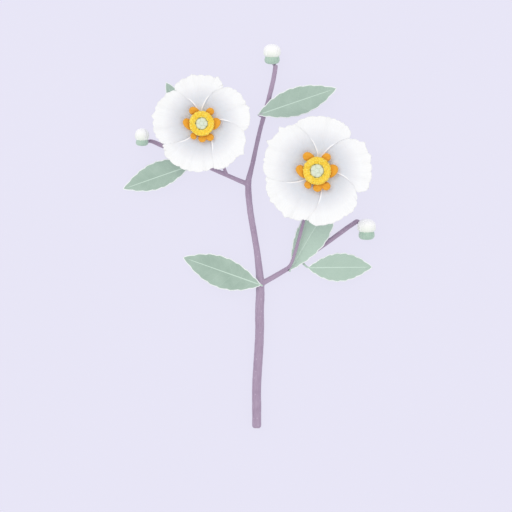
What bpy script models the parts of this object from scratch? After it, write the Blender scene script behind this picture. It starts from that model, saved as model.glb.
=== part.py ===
"""A cut flowering sprig of stewartia, lying on its back with its flowers facing up.

One branching twig carries two open flowers, three buds and six leaves. The twig runs along Y,
its cut end at -Y, and everything rests on the plane Z = 0. Every size below is in millimetres
and is turned into metres when a mesh or a curve is made.
"""

from math import asin, cos, degrees, hypot, pi, radians, sin

import bmesh
import bpy
from mathutils import Matrix, Vector

MM = 0.001                      # one millimetre in metres
GAP = 0.35                      # clearance between pieces that touch

# Twig: the stem is a little over 6 mm thick at the cut and thins upwards.
STEM_RADIUS = 3.0
UPPER_STEM_RADIUS = 2.1
TOP_BRANCH_RADIUS = 1.55
LEFT_BRANCH_RADIUS = 1.45
RIGHT_BRANCH_RADIUS = 1.6
FLOWER_STALK_RADIUS = 1.1
BUD_STALK_RADIUS = 1.0
LOWER_FORK = (8.6, -31.5, 4.0)
UPPER_FORK = (0.8, 33.5, 5.4)

# Flowers: five petals a turn, seven anthers round the stamen tube.
UPPER_FLOWER = {"centre": (-29.35, 72.8), "height": 10.5, "radius": 31.8, "turn": 97.0}
LOWER_FLOWER = {"centre": (45.3, 42.15), "height": 12.5, "radius": 35.6, "turn": 78.5}
PETALS = 5
PETAL_THICKNESS = 0.7
PETAL_BASE_RADIUS = 3.4
PETAL_CLAW_HALF_WIDTH = 1.3
BOWL_FLOOR = 3.4                # height of the petals' base over the calyx's foot
BOWL_DEPTH = 0.34               # rise of the petals, as a share of the flower's radius
RIM_ROLL = 0.25                 # how much of that rise the rolled rim gives back
RECEPTACLE_RADIUS = 3.0
RECEPTACLE_TOP = 4.7
CALYX_RADIUS = 8.8
CALYX_THICKNESS = 0.9
CALYX_CLEARANCE = 0.75          # under the lowest petal
SEPALS = 5
PISTIL_RADIUS = 0.129           # shares of the flower's radius, from here on
STAMEN_INNER = 0.139
STAMEN_TUBE = 0.175
STAMEN_RING = 0.253
ANTHER_REACH = 0.305
ANTHER_HEAD = 0.083
ANTHER_ANGLES = (7, 55, 124, 175, 237, 270, 303)

# Leaves: elliptic, pointed at both ends, finely toothed.
LEAF_THICKNESS = 0.8
LEAF_TEETH = 8
TOOTH_DEPTH = 0.45
LEAF_STALK_HALF_WIDTH = 0.85

# Buds: a ball of furled petals in a green cup.
CUP_THICKNESS = 0.7
BUD_TILT = 8.0

WOOD = ("stewartia bark", (0.424, 0.326, 0.434), 0.75)
LEAF_GREEN = ("leaf green", (0.402, 0.521, 0.451), 0.6)
PETAL_WHITE = ("petal white", (0.93, 0.93, 0.94), 0.6)
CALYX_GREEN = ("calyx green", (0.42, 0.60, 0.51), 0.6)
STAMEN_YELLOW = ("stamen yellow", (0.97, 0.66, 0.08), 0.6)
ANTHER_ORANGE = ("anther orange", (0.77, 0.36, 0.03), 0.6)
PISTIL_GREEN = ("pistil green", (0.70, 0.76, 0.62), 0.6)


def material(finish):
    """Return the Principled material of a finish, made once."""
    name, colour, roughness = finish
    found = bpy.data.materials.get(name)
    if found:
        return found
    made = bpy.data.materials.new(name)
    made.use_nodes = True
    shader = made.node_tree.nodes["Principled BSDF"]
    shader.inputs["Base Color"].default_value = (*colour, 1.0)
    shader.inputs["Roughness"].default_value = roughness
    shader.inputs["Metallic"].default_value = 0.0
    return made


def add_object(name, mesh, finish):
    """Put a mesh in the scene as one smooth-shaded piece of the sprig."""
    piece = bpy.data.objects.new(name, mesh)
    bpy.context.scene.collection.objects.link(piece)
    mesh.materials.clear()
    mesh.materials.append(material(finish))
    mesh.shade_smooth()
    mesh.set_sharp_from_angle(angle=radians(50))
    return piece


def mesh_of(name, bm):
    """Turn a bmesh made in millimetres into a mesh in metres."""
    bmesh.ops.scale(bm, vec=(MM, MM, MM), verts=bm.verts)
    mesh = bpy.data.meshes.new(name)
    bm.to_mesh(mesh)
    bm.free()
    return mesh


def thickened(name, bm, thickness, finish):
    """A sheet given its thickness on both sides by a Solidify modifier."""
    piece = add_object(name, mesh_of(name, bm), finish)
    solidify = piece.modifiers.new("thickness", "SOLIDIFY")
    solidify.thickness = thickness * MM
    solidify.offset = 0.0
    return piece


def turned(name, profile, sides, finish, shape=None):
    """A closed (radius, height) profile that starts and ends on the axis, spun round Z.

    shape is called with each vertex once the turned solid exists, to change it out of round.
    """
    bm = bmesh.new()
    verts = [bm.verts.new((radius, 0.0, height)) for radius, height in profile]
    edges = [bm.edges.new(pair) for pair in zip(verts, verts[1:])]
    bmesh.ops.spin(bm, geom=verts + edges, cent=(0, 0, 0), axis=(0, 0, 1),
                   angle=2 * pi, steps=sides, use_merge=True)
    bmesh.ops.remove_doubles(bm, verts=bm.verts, dist=0.001)
    bmesh.ops.recalc_face_normals(bm, faces=bm.faces)
    if shape:
        for vert in bm.verts:
            shape(vert)
    return add_object(name, mesh_of(name, bm), finish)


def spline(points):
    """Points of a smooth curve through the given ones, three a stretch."""
    ends = [points[0]] + list(points) + [points[-1]]
    smooth = []
    for before, start, end, after in zip(ends, ends[1:], ends[2:], ends[3:]):
        for step in range(3):
            t = step / 3
            weights = (-t + 2 * t**2 - t**3, 2 - 5 * t**2 + 3 * t**3,
                       t + 4 * t**2 - 3 * t**3, -t**2 + t**3)
            corners = zip(before, start, end, after)
            smooth.append([sum(w * c for w, c in zip(weights, corner)) / 2 for corner in corners])
    smooth.append(list(points[-1]))
    return smooth


def limb(name, points, sides):
    """A round, tapering limb along points of (x, y, z, radius), closed at both ends."""
    curve = bpy.data.curves.new(name, "CURVE")
    curve.dimensions = "3D"
    curve.bevel_depth = MM
    curve.bevel_resolution = (sides - 4) // 2
    curve.use_fill_caps = True
    curve.render_resolution_u = 0
    route = spline(points)
    line = curve.splines.new("POLY")
    line.points.add(len(route) - 1)
    for point, (x, y, z, radius) in zip(line.points, route):
        point.co = (x * MM, y * MM, z * MM, 1.0)
        point.radius = radius
    guide = bpy.data.objects.new(name, curve)
    bpy.context.scene.collection.objects.link(guide)
    mesh = bpy.data.meshes.new_from_object(guide.evaluated_get(bpy.context.evaluated_depsgraph_get()))
    bpy.data.objects.remove(guide)
    bpy.data.curves.remove(curve)
    return add_object(name, mesh, WOOD)


def grow_twig():
    """The twig: every limb is joined to the main stem in one solid."""
    stem = limb("twig", [
        (6.3, -125.1, 3.0, 2.3),
        (6.3, -124.1, 3.0, 2.95),
        (6.3, -122.1, 3.0, STEM_RADIUS),
        (6.3, -118.0, 3.0, STEM_RADIUS),
        (6.25, -110.0, 3.0, STEM_RADIUS),
        (6.3, -96.0, 3.1, STEM_RADIUS),
        (8.1, -66.0, 3.5, 2.95),
        (8.15, -48.0, 3.7, 2.95),
        (*LOWER_FORK, 2.75),
        (6.5, -10.0, 4.6, UPPER_STEM_RADIUS),
        (2.3, 15.0, 5.1, UPPER_STEM_RADIUS),
        (*UPPER_FORK, 2.05),
        (3.5, 46.4, 5.6, 1.55),
        (8.75, 70.0, 5.8, 1.45),
        (13.85, 88.0, 6.0, TOP_BRANCH_RADIUS),
        (17.3, 102.4, 6.0, TOP_BRANCH_RADIUS),
        (18.6, 111.4 - GAP, 6.0, TOP_BRANCH_RADIUS)], 12)
    limbs = [
        limb("left_branch", [
            (*UPPER_FORK, 1.7),
            (-13.0, 39.4, 5.2, LEFT_BRANCH_RADIUS),
            (-35.0, 49.3, 4.6, LEFT_BRANCH_RADIUS),
            (-56.0, 59.0, 3.4, LEFT_BRANCH_RADIUS),
            (-61.2, 61.3, 2.4, 1.35),
            (-63.7, 61.6, 1.5, 1.15),
            (-65.8, 60.6, 1.1, BUD_STALK_RADIUS),
            (-67.2, 59.8, 1.35, BUD_STALK_RADIUS),
            (-67.85, 59.55, 2.05, BUD_STALK_RADIUS),
            (-67.95, 59.55, 2.75, BUD_STALK_RADIUS)], 8),
        limb("right_branch", [
            (*LOWER_FORK, 1.9),
            (28.0, -20.2, 3.8, RIGHT_BRANCH_RADIUS),
            (50.3, -5.4, 3.9, RIGHT_BRANCH_RADIUS),
            (68.9, 8.0, 3.9, RIGHT_BRANCH_RADIUS),
            (72.0, 9.3, 3.0, 1.45),
            (74.0, 7.1, 1.6, 1.15),
            (75.7, 3.9, 1.1, BUD_STALK_RADIUS),
            (77.1, 1.1, 1.05, BUD_STALK_RADIUS),
            (77.75, -0.25, 1.5, BUD_STALK_RADIUS),
            (77.85, -0.7, 2.3, BUD_STALK_RADIUS),
            (77.85, -0.65, 2.95, BUD_STALK_RADIUS)], 8),
        limb("upper_flower_stalk", [
            (-13.0, 39.4, 5.2, FLOWER_STALK_RADIUS),
            (-14.8, 43.8, 5.7, FLOWER_STALK_RADIUS),
            (-20.8, 56.8, 5.6, FLOWER_STALK_RADIUS),
            (-27.1, 68.7, 5.2, FLOWER_STALK_RADIUS),
            (-29.15, 72.3, 7.2, FLOWER_STALK_RADIUS),
            (*UPPER_FLOWER["centre"], UPPER_FLOWER["height"] - GAP, 1.3)], 8),
        limb("lower_flower_stalk", [
            (24.2, -22.4, 3.8, FLOWER_STALK_RADIUS),
            (26.2, -20.9, 6.4, FLOWER_STALK_RADIUS),
            (28.8, -17.6, 8.9, FLOWER_STALK_RADIUS),
            (32.0, -8.0, 9.7, FLOWER_STALK_RADIUS),
            (36.6, 9.1, 9.5, FLOWER_STALK_RADIUS),
            (43.1, 36.9, 7.2, FLOWER_STALK_RADIUS),
            (45.1, 41.45, 8.8, FLOWER_STALK_RADIUS),
            (*LOWER_FLOWER["centre"], LOWER_FLOWER["height"] - GAP, 1.3)], 8),
        limb("spur", [
            (-54.5, 58.6, 3.5, 0.9),
            (-55.4, 60.6, 4.0, 0.8),
            (-56.0, 61.8, 4.3, 0.35)], 8),
    ]
    for joined in limbs:
        union = stem.modifiers.new(joined.name, "BOOLEAN")
        union.operation = "UNION"
        union.solver = "EXACT"
        union.object = joined
        joined.hide_render = True
        joined.display_type = "WIRE"


def leaf_half_width(share, width):
    """Half the blade's width at a share of its length, with its teeth."""
    blade = 0.5 * width * sin(pi * share**0.9)**0.85
    row = round(share * 2 * LEAF_TEETH)
    notch = TOOTH_DEPTH if row % 2 == 0 else 0.0
    return max(blade - notch, 0.25)


def leaf(name, stalk, base, tip, width, arch, fold=1.3):
    """One leaf: a short stalk from the twig and a blade folded along its midrib.

    stalk is where the stalk starts. arch is how far the blade's middle rises over a straight
    line from base to tip, and fold how far its two halves rise from the midrib.
    """
    stalk, base, tip = Vector(stalk), Vector(base), Vector(tip)
    columns = 4
    blade = [row / (2 * LEAF_TEETH) for row in range(2 * LEAF_TEETH + 1)]
    middles = [stalk, stalk.lerp(base, 0.5)]
    middles += [base.lerp(tip, share) + Vector((0, 0, arch * 4 * share * (1 - share)))
                for share in blade]
    halves = [LEAF_STALK_HALF_WIDTH] * 3 + [leaf_half_width(share, width) for share in blade[1:]]
    bm = bmesh.new()
    lines = []
    for row, (middle, half) in enumerate(zip(middles, halves)):
        along = middles[min(row + 1, len(middles) - 1)] - middles[max(row - 1, 0)]
        aside = Vector((-along.y, along.x, 0.0)).normalized()
        rise = fold * 2 * half / width if row > 2 else 0.0
        line = []
        for column in range(columns + 1):
            across = 2 * column / columns - 1
            lift = Vector((0, 0, rise * abs(across)**1.5))
            line.append(bm.verts.new(middle + aside * half * across + lift))
        lines.append(line)
    for near, far in zip(lines, lines[1:]):
        for column in range(columns):
            bm.faces.new((near[column + 1], near[column], far[column], far[column + 1]))
    return thickened(name, bm, LEAF_THICKNESS, LEAF_GREEN)


def grow_leaves():
    """Six leaves, each on the twig by its own short stalk."""
    leaf("leaf_upper_right", (8.9, 73.9, 8.0), (7.0, 78.3, 8.4), (58.2, 96.1, 4.5), 19.7, 2.0)
    leaf("leaf_upper_left", (-28.9, 49.7, 4.6), (-30.3, 51.1, 4.2), (-53.4, 101.3, 1.6), 19.0, 1.2)
    leaf("leaf_left", (-33.0, 45.6, 4.6), (-35.2, 46.1, 4.9), (-81.4, 30.4, 1.2), 18.4, 2.5)
    leaf("leaf_lower_left", (8.2, -32.4, 7.4), (5.0, -30.9, 7.7), (-41.6, -13.8, 1.4), 21.4, 1.5)
    leaf("leaf_middle", (28.3, -22.9, 6.1), (29.3, -20.8, 6.5), (55.5, 24.6, 6.2), 21.4, 0.2, 0.6)
    leaf("leaf_lower_right", (36.2, -17.8, 3.5), (39.8, -20.4, 4.6), (81.4, -20.2, 1.4), 19.4, 2.0)


def bowl(share, flower):
    """Height of the petals' middle surface over the calyx's foot."""
    return BOWL_FLOOR + BOWL_DEPTH * flower["radius"] * (share**1.6 - RIM_ROLL * share**4)


def layer_step(share):
    """Height between the two petals of an overlap: it grows towards the ruffled rim."""
    return 1.2 + 1.8 * share**2


def smooth_step(t):
    t = min(max(t, 0.0), 1.0)
    return t * t * (3 - 2 * t)


def free_edge(share, radius):
    """Angle from a petal's axis to its free edge, which narrows to a claw at the base."""
    claw = degrees(asin(PETAL_CLAW_HALF_WIDTH / (share * radius)))
    return max(2 + 34 * (share - 0.1) / 0.82, claw)


def covered_edge(share, radius):
    """Angle from a petal's axis to the edge that its neighbour covers."""
    tucked = 360 / PETALS - free_edge(share, radius) + 3 + 20 * (share - 0.3)
    return min(tucked, 360 / PETALS - 3.5)


FREE = {"edge": free_edge, "corner": 0.07, "level": 0.5}
COVERED = {"edge": covered_edge, "corner": 0.12, "level": -0.5}


def petal(name, flower, number):
    """One petal of a flower.

    Petal 1 lies over both neighbours and petal 2 under both. The others have their clockwise
    edge over one neighbour and their other edge under the next.
    """
    radius = flower["radius"]
    axis = flower["turn"] + (number - 1) * 360 / PETALS
    clockwise = COVERED if number == 2 else FREE
    other = FREE if number == 1 else COVERED
    clockwise_span = clockwise["edge"](1, radius)
    span = clockwise_span + other["edge"](1, radius)
    bm = bmesh.new()
    bmesh.ops.create_grid(bm, x_segments=12, y_segments=6, size=0.5)
    for vert in bm.verts:
        across = 0.5 - vert.co.x
        along = vert.co.y + 0.5
        turn = across * span - clockwise_span
        corner = clockwise["corner"] if turn < 0 else other["corner"]
        rim = radius * (1 - corner * abs(turn * PETALS / 180)**4)
        reach = PETAL_BASE_RADIUS + (rim - PETAL_BASE_RADIUS) * along
        share = reach / radius
        start = axis - clockwise["edge"](share, radius)
        end = axis + other["edge"](share, radius)
        angle = radians(start + (end - start) * across)
        rise = other["level"] - clockwise["level"]
        level = clockwise["level"] + rise * smooth_step((across - 0.25) / 0.5)
        height = bowl(share, flower) + level * layer_step(share)
        vert.co = (reach * cos(angle), reach * sin(angle), height)
    return thickened(name, bm, PETAL_THICKNESS, PETAL_WHITE)


def calyx(name, flower):
    """Five sepals grown together in a saucer, with the receptacle standing in its middle."""
    radius = flower["radius"]

    def ceiling(reach):
        share = reach / radius
        return bowl(share, flower) - 0.5 * layer_step(share) - 0.5 * PETAL_THICKNESS - CALYX_CLEARANCE

    inner = [RECEPTACLE_RADIUS, 5.0, 6.9, CALYX_RADIUS]
    profile = [(0.0, 0.0), (1.7, 0.0), (3.2, 0.5), (5.4, 1.3)]
    profile += [(CALYX_RADIUS, ceiling(CALYX_RADIUS) - CALYX_THICKNESS)]
    profile += [(reach, ceiling(reach)) for reach in reversed(inner)]
    profile += [(RECEPTACLE_RADIUS, RECEPTACLE_TOP), (0.0, RECEPTACLE_TOP)]

    def sepals(vert):
        reach = hypot(vert.co.x, vert.co.y)
        if reach < 4.5:
            return
        angle = vert.co.xy.angle_signed(Vector((1, 0)))
        lobe = abs(cos(SEPALS * angle / 2))
        share = (reach - 4.5) / (CALYX_RADIUS - 4.5)
        vert.co.x *= 1 - 0.28 * share * (1 - lobe)
        vert.co.y *= 1 - 0.28 * share * (1 - lobe)

    return turned(name, profile, 20, CALYX_GREEN, sepals)


def stamens(name, flower):
    """The stamens, grown together in a tube that flares into a thick ring."""
    radius = flower["radius"]
    inner = STAMEN_INNER * radius
    tube = STAMEN_TUBE * radius
    ring = STAMEN_RING * radius
    share = tube / radius
    foot = bowl(share, flower) + 0.5 * layer_step(share) + 0.5 * PETAL_THICKNESS + GAP
    middle = 0.5 * (inner + ring)
    profile = [(inner, foot), (tube, foot), (tube, foot + 1.4), (ring - 1.2, foot + 3.4),
               (ring, foot + 4.6), (ring - 0.3, foot + 5.7), (middle + 0.8, foot + 6.5),
               (middle - 0.6, foot + 6.4), (inner, foot + 5.2)]
    bm = bmesh.new()
    verts = [bm.verts.new((reach, 0.0, height)) for reach, height in profile]
    edges = [bm.edges.new(pair) for pair in zip(verts, verts[1:] + verts[:1])]
    bmesh.ops.spin(bm, geom=verts + edges, cent=(0, 0, 0), axis=(0, 0, 1),
                   angle=2 * pi, steps=24, use_merge=True)
    bmesh.ops.remove_doubles(bm, verts=bm.verts, dist=0.001)
    bmesh.ops.recalc_face_normals(bm, faces=bm.faces)
    return add_object(name, mesh_of(name, bm), STAMEN_YELLOW)


def anther(name, flower, angle):
    """One plump anther, drawn out to a point that reaches the stamen tube under the ring."""
    radius = flower["radius"]
    head = ANTHER_HEAD * radius
    reach = ANTHER_REACH * radius
    share = reach / radius
    thickness = 0.68 * head
    seat = bowl(share, flower) + 0.5 * layer_step(share) + 0.5 * PETAL_THICKNESS + GAP
    tail = reach - STAMEN_TUBE * radius - GAP
    bm = bmesh.new()
    bmesh.ops.create_uvsphere(bm, u_segments=10, v_segments=7, radius=1.0)
    bmesh.ops.rotate(bm, verts=bm.verts, cent=(0, 0, 0), matrix=Matrix.Rotation(pi / 2, 3, "Y"))
    for vert in bm.verts:
        inward = max(0.0, -vert.co.x)
        waist = 1 - 0.45 * inward**1.5
        vert.co.x *= tail if inward else head
        vert.co.y *= head * waist
        vert.co.z *= thickness * waist
    lean = Matrix.Rotation(radians(-22), 4, "Y")
    place = Matrix.Rotation(radians(angle), 4, "Z") @ Matrix.Translation((reach, 0, seat + thickness))
    bmesh.ops.transform(bm, verts=bm.verts, matrix=place @ lean)
    return add_object(name, mesh_of(name, bm), ANTHER_ORANGE)


def pistil(name, flower):
    """The pistil: a low ovary with a blunt dome on top, inside the stamen tube."""
    radius = PISTIL_RADIUS * flower["radius"]
    foot = RECEPTACLE_TOP + GAP
    profile = [(0.0, foot), (0.7 * radius, foot), (0.95 * radius, foot + 1.2),
               (radius, foot + 3.4), (0.9 * radius, foot + 4.8), (0.55 * radius, foot + 5.7),
               (0.0, foot + 6.0)]
    return turned(name, profile, 20, PISTIL_GREEN)


def open_flower(name, flower):
    """All pieces of one open flower, on top of its stalk."""
    pieces = [petal(f"{name}_petal_{number}", flower, number) for number in range(1, PETALS + 1)]
    pieces.append(calyx(f"{name}_calyx", flower))
    pieces.append(stamens(f"{name}_stamens", flower))
    pieces.append(pistil(f"{name}_pistil", flower))
    for number, angle in enumerate(ANTHER_ANGLES, start=1):
        pieces.append(anther(f"{name}_anther_{number}", flower, angle))
    x, y = flower["centre"]
    for piece in pieces:
        piece.location = (x * MM, y * MM, flower["height"] * MM)


def bud(name, foot, radius, length, cup_height):
    """A bud along Y: foot is the middle of its cup's underside, length runs to its top."""
    cup_radius = 0.88 * radius
    middle = length - 1.06 * radius
    furled = [(0.0, CUP_THICKNESS + GAP), (0.45 * radius, CUP_THICKNESS + GAP + 0.25),
              (cup_radius - CUP_THICKNESS - 0.5, 0.55 * cup_height + 0.3),
              (cup_radius - CUP_THICKNESS - 0.4, cup_height),
              (0.96 * radius, cup_height + 1.0),
              (radius, middle + 0.8)]
    furled += [(radius * cos(radians(a)), middle + 0.8 + (length - middle - 0.8) * sin(radians(a)))
               for a in (25, 50, 72)]
    furled += [(0.0, length)]
    cup = [(0.0, 0.0), (0.42 * cup_radius, 0.0), (0.82 * cup_radius, 0.18 * cup_height),
           (cup_radius, 0.55 * cup_height), (cup_radius - 0.1, cup_height),
           (cup_radius - CUP_THICKNESS, cup_height),
           (cup_radius - CUP_THICKNESS - 0.1, 0.55 * cup_height),
           (0.6 * cup_radius, CUP_THICKNESS + 0.1), (0.0, CUP_THICKNESS)]
    pieces = [turned(f"{name}_petals", furled, 16, PETAL_WHITE),
              turned(f"{name}_calyx", cup, 16, CALYX_GREEN)]
    for piece in pieces:
        piece.rotation_euler = (radians(-90 + BUD_TILT), 0.0, 0.0)
        piece.location = Vector(foot) * MM


def stand_on_origin():
    """Move the whole sprig so that the middle of its underside is the origin."""
    bpy.context.view_layer.update()
    graph = bpy.context.evaluated_depsgraph_get()
    pieces = [piece for piece in bpy.context.scene.objects if not piece.hide_render]
    corners = [piece.matrix_world @ vert.co
               for piece in pieces for vert in piece.evaluated_get(graph).data.vertices]
    low = Vector(min(corner[axis] for corner in corners) for axis in range(3))
    high = Vector(max(corner[axis] for corner in corners) for axis in range(3))
    shift = Vector((-(low.x + high.x) / 2, -(low.y + high.y) / 2, -low.z))
    for piece in bpy.context.scene.objects:
        piece.location += shift


for leftover in list(bpy.data.objects):
    bpy.data.objects.remove(leftover, do_unlink=True)
grow_twig()
grow_leaves()
open_flower("upper_flower", UPPER_FLOWER)
open_flower("lower_flower", LOWER_FLOWER)
bud("bud_top", (16.5, 111.7, 5.7), 5.75, 12.9, 5.1)
bud("bud_left", (-67.95, 58.6, 6.6), 4.75, 11.3, 4.0)
bud("bud_right", (77.85, -2.3, 7.6), 6.1, 13.5, 5.4)
stand_on_origin()
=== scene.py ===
import random
from math import asin, atan2, cos, degrees, exp, hypot, pi, radians, sin, sqrt

import bmesh
import bpy
from mathutils import Matrix, Vector, noise
from mathutils.bvhtree import BVHTree


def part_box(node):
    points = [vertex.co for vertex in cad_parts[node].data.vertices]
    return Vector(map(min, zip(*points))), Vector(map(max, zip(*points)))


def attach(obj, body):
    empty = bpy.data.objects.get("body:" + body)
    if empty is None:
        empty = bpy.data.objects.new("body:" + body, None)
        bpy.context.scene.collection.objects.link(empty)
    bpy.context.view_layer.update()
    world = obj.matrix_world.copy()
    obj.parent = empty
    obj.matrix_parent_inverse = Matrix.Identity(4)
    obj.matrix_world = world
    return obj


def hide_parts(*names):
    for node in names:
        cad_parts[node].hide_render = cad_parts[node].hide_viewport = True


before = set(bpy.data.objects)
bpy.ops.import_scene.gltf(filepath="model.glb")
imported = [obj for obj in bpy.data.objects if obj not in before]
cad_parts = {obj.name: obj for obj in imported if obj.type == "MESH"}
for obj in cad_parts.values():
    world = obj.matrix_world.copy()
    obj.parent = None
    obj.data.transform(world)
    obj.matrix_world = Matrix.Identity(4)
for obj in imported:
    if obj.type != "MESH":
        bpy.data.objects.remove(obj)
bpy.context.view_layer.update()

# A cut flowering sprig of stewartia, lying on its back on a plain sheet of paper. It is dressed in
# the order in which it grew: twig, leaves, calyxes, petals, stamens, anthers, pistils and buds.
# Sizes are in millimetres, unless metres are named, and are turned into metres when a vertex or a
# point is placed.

MM = 0.001


# ---- Twig ------------------------------------------------------------------------------------
# One season's young wood: thin, smooth, mauve-grey bark with fine lines along it and small pale
# breathing pores. It grew as one piece, swells a little where a leaf joins it, and is cut straight
# across at the foot, where the pale wood and the darker pith show.

TWIG_GRAIN = 0.42               # size of the skin's faces
SWELLING = 0.45                 # how far the twig swells out towards a leaf stalk
SWELLING_REACH = 2.6
FOOT_RADIUS = 3.0               # at the cut, which lies on the paper
CUT_FACE_DEPTH = 0.25
CUT_EDGE = 2.2                  # the bark is rounded off over this length at the cut


def work_on(*pieces):
    """Select these pieces alone; the first is the active one."""
    bpy.ops.object.select_all(action="DESELECT")
    for piece in pieces:
        piece.select_set(True)
    bpy.context.view_layer.objects.active = pieces[0]


def apply_modifier(piece, kind, **settings):
    """Give a piece one modifier and apply it."""
    work_on(piece)
    modifier = piece.modifiers.new(kind.lower(), kind)
    for key, value in settings.items():
        setattr(modifier, key, value)
    bpy.ops.object.modifier_apply(modifier=modifier.name)


def colour(hex_value):
    """An sRGB hex value as a linear colour."""
    shares = [int(hex_value[place:place + 2], 16) / 255 for place in (1, 3, 5)]
    linear = [s / 12.92 if s <= 0.04045 else ((s + 0.055) / 1.055)**2.4 for s in shares]
    return (*linear, 1.0)


def new_finish(name, **sockets):
    """A new material with constants on its shader's own sockets, named with underscores."""
    finish = bpy.data.materials.new(name)
    finish.use_nodes = True
    shader = finish.node_tree.nodes["Principled BSDF"]
    for socket, value in sockets.items():
        shader.inputs[socket.replace("_", " ")].default_value = value
    return finish


def add_node(finish, kind, settings=None, links=None, feeds=None):
    """Add a node with its settings and its links, and return it.

    A setting is a property or a socket's own value, and stops make a ramp. A link comes in from
    an output, or from a node, which means its first output. feeds names the shader's socket that
    this node's first output goes to.
    """
    tree = finish.node_tree
    node = tree.nodes.new("ShaderNode" + kind)
    for key, value in (settings or {}).items():
        if key == "stops":
            ramp = node.color_ramp.elements
            while len(ramp) < len(value):
                ramp.new(1.0)
            for stop, (place, shade) in zip(ramp, value):
                stop.position = place
                stop.color = colour(shade)
        elif isinstance(key, str) and hasattr(node, key):
            setattr(node, key, value)
        else:
            node.inputs[key].default_value = value
    for key, source in (links or {}).items():
        output = source.outputs[0] if isinstance(source, bpy.types.Node) else source
        tree.links.new(output, node.inputs[key])
    if feeds:
        tree.links.new(node.outputs[0], tree.nodes["Principled BSDF"].inputs[feeds])
    return node


def pattern_of(piece):
    """A mesh's vertices, each with its "pattern": three numbers that its material draws from."""
    attributes = piece.data.attributes
    pattern = attributes.get("pattern") or attributes.new("pattern", "FLOAT_VECTOR", "POINT")
    return zip(piece.data.vertices, pattern.data)


def young_bark():
    """Smooth young bark: matt, mauve-grey, streaked along the twig, with pale pores on it."""
    bark = new_finish("young_bark", Roughness=0.62, Specular_IOR_Level=0.35, Sheen_Weight=0.15,
                      Sheen_Roughness=0.5)
    place = add_node(bark, "TexCoord").outputs["Object"]
    along = add_node(bark, "Attribute", {"attribute_name": "pattern"}).outputs["Vector"]
    # Streaks 0.6 mm wide run lengthwise: they read the skin's direction, which only turns
    # round the twig. Blotches are 12 mm long and pores 3 mm apart.
    streaks = add_node(bark, "TexNoise", {"Scale": 5.0, "Detail": 4.0, "Roughness": 0.6},
                       {"Vector": along})
    blotches = add_node(bark, "TexNoise", {"Scale": 85.0, "Detail": 2.0}, {"Vector": place})
    pores = add_node(bark, "TexVoronoi", {"Scale": 330.0}, {"Vector": place})
    pore = add_node(bark, "MapRange", {"From Min": 0.2, "From Max": 0.12}, {"Value": pores})
    mixed = add_node(bark, "Mix", {0: 0.35}, {2: streaks, 3: blotches})
    skin = add_node(bark, "ValToRGB", {"stops": [
        (0.30, "#988499"), (0.45, "#A48FA6"), (0.60, "#AD9AAF"), (0.75, "#B8A6BA")]},
        {"Fac": mixed})
    faint = add_node(bark, "Math", {"operation": "MULTIPLY", 1: 0.35}, {0: pore})
    add_node(bark, "MixRGB", {"Color2": colour("#CDBFD0")}, {"Fac": faint, "Color1": skin},
             feeds="Base Color")
    relief = add_node(bark, "Math", {"operation": "MULTIPLY_ADD", 1: 0.5}, {0: pore, 2: streaks})
    add_node(bark, "Bump", {"Strength": 0.35, "Distance": 0.15 * MM}, {"Height": relief},
             feeds="Normal")
    return bark


def cut_wood():
    """Freshly cut young wood: pale and dull, with growth rings and a darker pith."""
    wood = new_finish("cut_wood", Roughness=0.8, Specular_IOR_Level=0.3)
    place = add_node(wood, "TexCoord").outputs["Object"]
    foot = min((v.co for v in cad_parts["twig"].data.vertices), key=lambda co: co.y)
    centre = add_node(wood, "Mapping", {"Location": (-foot.x, -foot.y, -FOOT_RADIUS * MM)},
                      {"Vector": place})
    ring = add_node(wood, "VectorMath", {"operation": "LENGTH"}, {0: centre}).outputs["Value"]
    share = add_node(wood, "MapRange", {"From Max": FOOT_RADIUS * MM}, {"Value": ring})
    add_node(wood, "ValToRGB", {"stops": [
        (0.0, "#B39C86"), (0.14, "#C2AE93"), (0.2, "#E4D8C0"), (0.55, "#DCCEB4"),
        (0.62, "#E6DBC6"), (0.9, "#D9D3B6"), (1.0, "#9C8A9F")]}, {"Fac": share},
        feeds="Base Color")
    fibres = add_node(wood, "TexNoise", {"Scale": 2600.0, "Detail": 2.0}, {"Vector": place})
    add_node(wood, "Bump", {"Strength": 0.4, "Distance": 0.1 * MM}, {"Height": fibres},
             feeds="Normal")
    return wood


twig = bpy.data.objects.new("twig_skin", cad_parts["twig"].data.copy())
twig.data.materials.clear()
bpy.context.scene.collection.objects.link(twig)
work_on(twig)
bpy.ops.object.mode_set(mode="EDIT")
bpy.ops.mesh.select_all(action="SELECT")
bpy.ops.mesh.remove_doubles(threshold=0.01 * MM)
bpy.ops.object.mode_set(mode="OBJECT")
apply_modifier(twig, "REMESH", mode="VOXEL", voxel_size=TWIG_GRAIN * MM)
for turn in range(12):          # smooths the facets away; the negative step keeps the thickness
    apply_modifier(twig, "SMOOTH", factor=0.55, iterations=1)
    apply_modifier(twig, "SMOOTH", factor=-0.57, iterations=1)

twig_surface = BVHTree.FromPolygons([v.co for v in twig.data.vertices],
                                    [list(p.vertices) for p in twig.data.polygons])
joints_of_leaves = []           # on the twig, nearest to each leaf
for name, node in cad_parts.items():
    if name.startswith("leaf_"):
        hits = (twig_surface.find_nearest(v.co) for v in node.data.vertices)
        joints_of_leaves.append(min(hits, key=lambda hit: hit[3])[0])

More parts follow.
